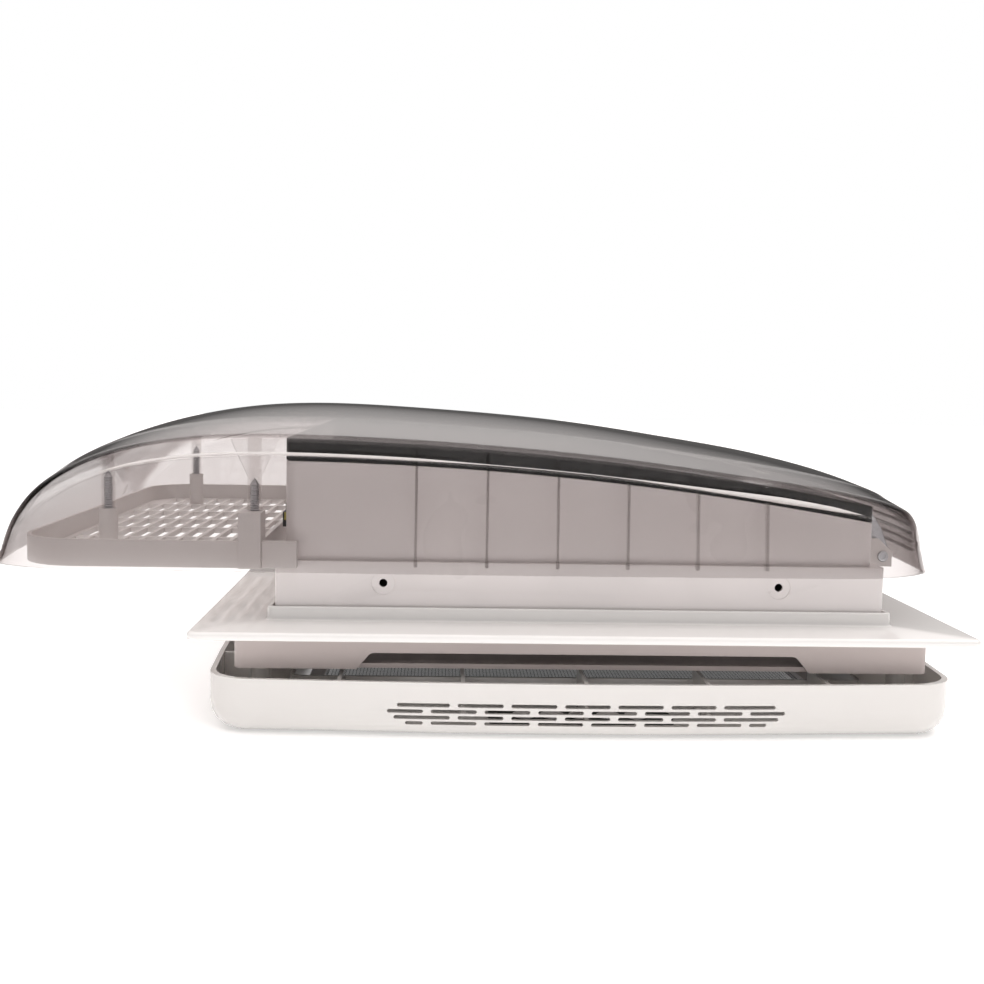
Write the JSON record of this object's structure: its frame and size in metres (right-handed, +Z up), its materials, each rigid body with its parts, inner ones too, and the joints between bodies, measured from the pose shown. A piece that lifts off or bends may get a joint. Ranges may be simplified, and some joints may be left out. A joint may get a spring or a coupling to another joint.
{
  "type": "roof vent cover",
  "caption": "Powered caravan roof vent: smoked wind-shaped lid that lifts at the rear over a fan box, in a square roof flange, with a ceiling frame, trim, keypad and hinged fly screen.",
  "frame": {"origin": "centre of the roof cut-out, on the plane of the roof skin under the flange", "axes": "+X towards the lid's hinge end (the vehicle's front), +Z up out of the roof, +Y completes the right-handed frame"},
  "size_m": [0.6285, 0.485, 0.198],
  "materials": {
    "gloss_white": "high gloss",
    "satin_white": "fine satin",
    "frame_grey": "fine texture",
    "black_plastic": "fine texture",
    "smoked_acrylic": "clear gloss, smoke brown-grey",
    "zinc_steel": "zinc plated",
    "seal_rubber": "matte",
    "dark_mesh": "woven look",
    "button_white": "satin",
    "red_window": "dark red gloss",
    "gear_nylon": "natural nylon",
    "motor_steel": "black paint"
  },
  "bodies": {
    "vent": {"roof_flange": "gloss_white", "collar_seal": "seal_rubber", "base_frame": "gloss_white", "unit_screws": "zinc_steel", "air_box": "gloss_white", "hinge_bracket_near": "satin_white", "hinge_bracket_far": "satin_white", "hinge_pins": "zinc_steel", "fan_spider": "black_plastic", "spider_screws": "zinc_steel", "fan_motor": "motor_steel", "motor_bracket": "zinc_steel", "lift_motor": "motor_steel", "shaft_bearings": "satin_white", "lid_switch": "black_plastic", "ceiling_frame": "frame_grey", "clamp_screws": "zinc_steel", "trim": "gloss_white", "trim_screws": "zinc_steel", "control_panel": "black_plastic", "infrared_window": "red_window", "screen_pins": "zinc_steel"},
    "fan": {"fan_blades": "black_plastic", "fan_shaft": "zinc_steel", "fan_clip": "zinc_steel"},
    "lid": {"dome": "smoked_acrylic", "inner_lid": "black_plastic", "lid_gasket": "seal_rubber", "outlet_grille": "satin_white", "grille_tabs": "satin_white", "grille_columns": "satin_white", "dome_posts": "smoked_acrylic", "grille_screws": "zinc_steel", "hinge_arms": "black_plastic", "lift_track_near": "satin_white", "lift_track_far": "satin_white"},
    "lift": {"lift_shaft": "zinc_steel", "lift_arm_near": "zinc_steel", "lift_arm_far": "zinc_steel", "arm_sliders": "black_plastic", "sector_gear": "gear_nylon"},
    "pinion": {"lift_pinion": "gear_nylon", "pinion_shaft": "zinc_steel"},
    "screen": {"screen_frame": "satin_white", "screen_mesh": "dark_mesh"},
    "power_key": {"button_power": "button_white"},
    "fan_less_key": {"button_fan_less": "button_white"},
    "fan_more_key": {"button_fan_more": "button_white"},
    "lid_open_key": {"button_lid_open": "button_white"},
    "lid_close_key": {"button_lid_close": "button_white"}
  },
  "joints": [
    {"name": "lid_hinge", "type": "hinge", "parent": "vent", "child": "lid", "pos_m": [0.209, 0, 0.044], "axis": [0, 1, 0], "range_deg": [0, 25]},
    {"name": "lift_turn", "type": "hinge", "parent": "vent", "child": "lift", "pos_m": [0.03454, 0, 0.05773], "axis": [0, 1, 0], "range_deg": [0, 50]},
    {"name": "pinion_turn", "type": "hinge", "parent": "vent", "child": "pinion", "pos_m": [0.07579, 0.17, 0.05773], "axis": [0, 1, 0], "range_deg": [-133.33, 0]},
    {"name": "fan_spin", "type": "hinge", "parent": "vent", "child": "fan", "pos_m": [0, 0, 0.03], "axis": [0, 0, 1], "continuous": true},
    {"name": "screen_hinge", "type": "hinge", "parent": "vent", "child": "screen", "pos_m": [-0.178, 0, -0.056], "axis": [0, 1, 0], "range_deg": [0, 85]},
    {"name": "power_press", "type": "slide", "parent": "vent", "child": "power_key", "axis": [0, 0, 1], "range_m": [0, 0.001], "stiffness_N_per_m": 300, "springref_m": -0.0005},
    {"name": "fan_less_press", "type": "slide", "parent": "vent", "child": "fan_less_key", "axis": [0, 0, 1], "range_m": [0, 0.001], "stiffness_N_per_m": 300, "springref_m": -0.0005},
    {"name": "fan_more_press", "type": "slide", "parent": "vent", "child": "fan_more_key", "axis": [0, 0, 1], "range_m": [0, 0.001], "stiffness_N_per_m": 300, "springref_m": -0.0005},
    {"name": "lid_open_press", "type": "slide", "parent": "vent", "child": "lid_open_key", "axis": [0, 0, 1], "range_m": [0, 0.001], "stiffness_N_per_m": 300, "springref_m": -0.0005},
    {"name": "lid_close_press", "type": "slide", "parent": "vent", "child": "lid_close_key", "axis": [0, 0, 1], "range_m": [0, 0.001], "stiffness_N_per_m": 300, "springref_m": -0.0005}
  ],
  "couplings": [
    {"joint": "lift_turn", "follows": "lid_hinge", "ratio": 2},
    {"joint": "pinion_turn", "follows": "lid_hinge", "ratio": -5.3333}
  ]
}
